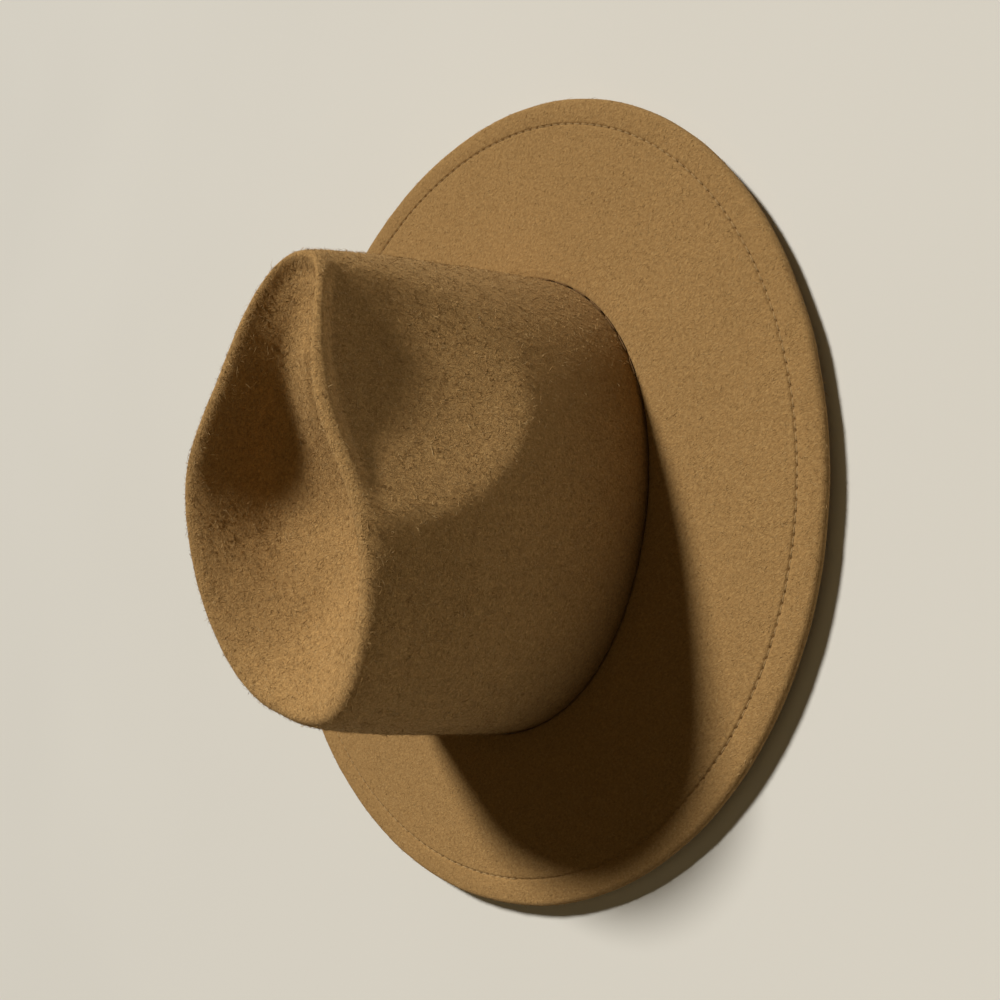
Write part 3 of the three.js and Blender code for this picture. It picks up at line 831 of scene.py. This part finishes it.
def make_label(name, start, end, low, high, material, node):
    """Woven label sewn to the band: a thin patch, a little proud and curled at its free corner."""
    across, up = 36, 22
    a = np.radians(np.linspace(start, end, across))
    z = np.linspace(low, high, up)
    u, v = np.meshgrid(np.linspace(-1, 1, across), np.linspace(-1, 1, up), indexing="ij")
    bow = 0.06 * MM * (1 - u ** 2) * (1 - v ** 2) + 0.10 * MM * np.clip(u + v - 1.2, 0, 1) ** 2
    hem = 0.10 * MM * (np.maximum(np.abs(u), np.abs(v)) > 0.88)
    near, far = BAND_FACE + 0.30 * MM + bow, BAND_FACE + 0.52 * MM + bow + hem
    back = band_points(a, np.stack([near, np.broadcast_to(z, near.shape)], -1))
    front = band_points(a, np.stack([far, np.broadcast_to(z, far.shape)], -1))
    points = np.concatenate([back.reshape(-1, 3), front.reshape(-1, 3)])
    faces = grid_faces(across, up, False)
    count = across * up
    edge = [i * up for i in range(across)] + [(across - 1) * up + k for k in range(1, up)]
    edge += [i * up + up - 1 for i in range(across - 2, -1, -1)] + list(range(up - 2, 0, -1))
    rim = [(after, here, here + count, after + count) for here, after in zip(edge, edge[1:] + edge[:1])]
    obj = new_object(name, points, np.concatenate([faces, faces[:, ::-1] + count, np.array(rim)]))
    return finish_piece(obj, material, "label_cloth", node)


# ------------------------------------------------------------------ nap
def nap(name, felt, keep, count, length, width, lift, material, slot):
    """Short curled fibres rooted where keep allows on a felt's points, faces and normals, as ribbons."""
    points, faces, normals = felt
    corner = points[faces]
    area = np.linalg.norm(np.cross(corner[:, 2] - corner[:, 0], corner[:, 3] - corner[:, 1]), axis=1)
    area = area * keep(corner.mean(1), normals[faces].mean(1))
    chosen = GRAIN.choice(len(faces), count, p=area / area.sum())
    u, v = GRAIN.random((2, count, 1))
    c0, c1, c2, c3 = (corner[chosen][:, i] for i in range(4))
    n0, n1, n2, n3 = (normals[faces[chosen, i]] for i in range(4))
    root = (c0 * (1 - u) + c1 * u) * (1 - v) + (c3 * (1 - u) + c2 * u) * v
    up = (n0 * (1 - u) + n1 * u) * (1 - v) + (n3 * (1 - u) + n2 * u) * v
    up /= np.linalg.norm(up, axis=1, keepdims=True)

    def lying(direction):
        flat = direction - up * (direction * up).sum(1, keepdims=True)
        return flat / np.maximum(np.linalg.norm(flat, axis=1, keepdims=True), 1e-9)

    heading = lying(GRAIN.normal(size=(count, 3)) + np.array([0.5, 0.35, -0.5]))
    bend = lying(heading + 0.7 * GRAIN.normal(size=(count, 3)))
    size = length * GRAIN.lognormal(0, 0.35, (count, 1))
    rise = GRAIN.uniform(lift[0], lift[1], (count, 1))
    step1 = heading * np.cos(rise) + up * np.sin(rise)
    step2 = bend * np.cos(rise * 0.4) + up * np.sin(rise * 0.4)
    foot = root - up * 0.05 * MM
    knee = foot + step1 * size * 0.5
    tip = knee + step2 * size * 0.5
    side = np.cross(step1, up + 0.6 * GRAIN.normal(size=(count, 3)))
    side /= np.maximum(np.linalg.norm(side, axis=1, keepdims=True), 1e-9)
    half = side * width / 2 * GRAIN.uniform(0.6, 1.4, (count, 1))
    spots = np.stack([foot - half, foot + half, knee + half * 0.8, knee - half * 0.8, tip], 1)
    start = np.arange(count)[:, None] * 5
    quads = (start + np.array([0, 1, 2, 3])).tolist()
    tips = (start + np.array([3, 2, 4])).tolist()
    return finish_piece(new_object(name, spots.reshape(-1, 3), quads + tips), material, slot)


# ------------------------------------------------------------------ floor, light and camera
FLOOR_HALF, FLOOR_Z = 3.0, -4.5 * MM
KEY_TOWARDS, KEY_DISTANCE = (0.453, -0.476, 0.754), 2.0
FILL_TOWARDS, FILL_DISTANCE = (-0.25, 0.1, 1.0), 1.6
CAMERA_RIGHT, CAMERA_UP = (-0.7185, -0.1643, -0.6758), (0.1768, -0.9829, 0.0510)
CAMERA_AT = (-0.30747, -0.03795, 0.33798)


def make_stage():
    """A pale floor a little below the hat."""
    half, z = FLOOR_HALF, FLOOR_Z
    mesh = bpy.data.meshes.new("floor")
    corners = [(-half, -half, z), (half, -half, z), (half, half, z), (-half, half, z)]
    mesh.from_pydata(corners, [], [(0, 1, 2, 3)])
    floor = bpy.data.objects.new("floor", mesh)
    bpy.context.scene.collection.objects.link(floor)
    m = Nodes("pale_floor")
    soft = m.noise(m.place(), 3, 2)
    m.colour(m.ramp(soft, [(0.3, (0.695, 0.685, 0.645)), (0.7, (0.715, 0.705, 0.665))]))
    m.surface(roughness=0.9)
    floor.data.materials.append(m.material)


def make_lights():
    """A soft warm key, a broad warm fill and a faint sky."""
    key = bpy.data.lights.new("key", "SUN")
    key.energy = 3.6
    key.angle = math.radians(8.5)
    key.color = (1.0, 0.965, 0.90)
    place_light(key, KEY_TOWARDS, KEY_DISTANCE)
    fill = bpy.data.lights.new("fill", "AREA")
    fill.shape = "DISK"
    fill.size = 1.6
    fill.energy = 1.6
    fill.color = (1.0, 0.72, 0.32)
    place_light(fill, FILL_TOWARDS, FILL_DISTANCE)
    world = bpy.data.worlds.new("studio")
    world.use_nodes = True
    sky = world.node_tree.nodes["Background"]
    sky.inputs["Color"].default_value = (1.0, 0.84, 0.60, 1)
    sky.inputs["Strength"].default_value = 0.03
    bpy.context.scene.world = world
    bpy.context.scene.view_settings.view_transform = "Standard"


def place_light(light, direction, distance):
    """Puts a light out in a direction, shining back at the hat."""
    towards = Vector(direction).normalized()
    lamp = bpy.data.objects.new(light.name, light)
    lamp.location = towards * distance
    lamp.rotation_mode = "QUATERNION"
    lamp.rotation_quaternion = towards.to_track_quat("Z", "Y")
    bpy.context.scene.collection.objects.link(lamp)


def make_camera():
    """Looks at the hat from above its right side, turned so that the front of the hat points up."""
    right = Vector(CAMERA_RIGHT)
    up = Vector(CAMERA_UP)
    back = right.cross(up).normalized()
    up = back.cross(right.normalized())
    camera = bpy.data.cameras.new("camera")
    camera.sensor_width = 36
    camera.lens = 36
    camera.dof.use_dof = False
    camera.clip_start = 0.01
    obj = bpy.data.objects.new("camera", camera)
    turn = Matrix((right.normalized(), up, back)).transposed().to_4x4()
    obj.matrix_world = Matrix.Translation(CAMERA_AT) @ turn
    bpy.context.scene.collection.objects.link(obj)
    bpy.context.scene.camera = obj


# ------------------------------------------------------------------ assembly
make_camera()
make_lights()
make_stage()

# painted light: the crown's felt is a lighter copy of the brim's (tone 1.22), standing in for the brighter
# light on the crown
crown_felt = felt_material("crown_felt", 1.0, 1.22)
brim_felt = felt_material("brim_felt", 0.3, 1.0)
fibres = nap_material()
thread = thread_material("thread", (0.30, 0.19, 0.08), (0.50, 0.35, 0.17))
# painted shade: the crease thread is a darker copy of the thread, standing in for the shade in the crease
# at the crown's foot
crease_thread = thread_material("crease_thread", (0.15, 0.075, 0.028), (0.26, 0.15, 0.06))

crown_outside = make_crown(crown_felt)
brim_surface = make_brim(brim_felt)
edge_stitches(thread, True)
edge_stitches(thread, False)
crease_stitches(crease_thread)

band_cloth = cloth_material("band_cloth", (0.030, 0.019, 0.012), (0.075, 0.050, 0.033), RIB)
ribbon = cloth_material("bow_ribbon", (0.035, 0.022, 0.014), (0.085, 0.056, 0.037), 0.5 * MM)
label_cloth = label_material()
make_sweatband(band_cloth)
make_reed(plastic_material())
inner_stitches(thread)
joint_stitches(thread)
make_bow(ribbon)
make_label("size_patch", 104, 112, 15 * MM, 28 * MM, label_cloth, "size_label")
make_label("care_patch", 48, 62, 13 * MM, 31 * MM, label_cloth, "care_label")
steel = steel_material()
for wire_piece in ("brim_wire", "brim_wire_sleeve"):
    hidden = bpy.data.objects[wire_piece]
    hidden.data.materials.clear()
    hidden.data.materials.append(steel)


def on_crown(centre, _normal):
    """Where the crown carries nap: everywhere above the crease."""
    return (centre[:, 2] > BRIM_TOP + 1 * MM).astype(float)


def on_brim_top(centre, normal):
    """Where the brim carries nap: its top and edge, less of it along the seam."""
    inset = brim_inset(centre)
    by_seam = np.exp(-(((inset - SEAM) / (0.9 * MM)) ** 2))
    facing = smooth(normal[:, 2], -0.3, 0.3)
    in_tunnel = (np.abs(inset - WIRE_IN) < 1.6 * MM) & (centre[:, 2] < 4.2 * MM)
    return facing * (1 - 0.75 * by_seam) * ~in_tunnel * (centre[:, 2] > 2.6 * MM)


# name, felt, keep, count, length, width, least and most rise in radians, material, slot
nap("crown_nap", crown_outside, on_crown, 62000, 2.0 * MM, 0.15 * MM,
    (0.05, 0.55), fibres, "crown_felt")
nap("brim_nap", brim_surface, on_brim_top, 40000, 1.3 * MM, 0.13 * MM,
    (0.05, 0.45), fibres, "brim_felt")
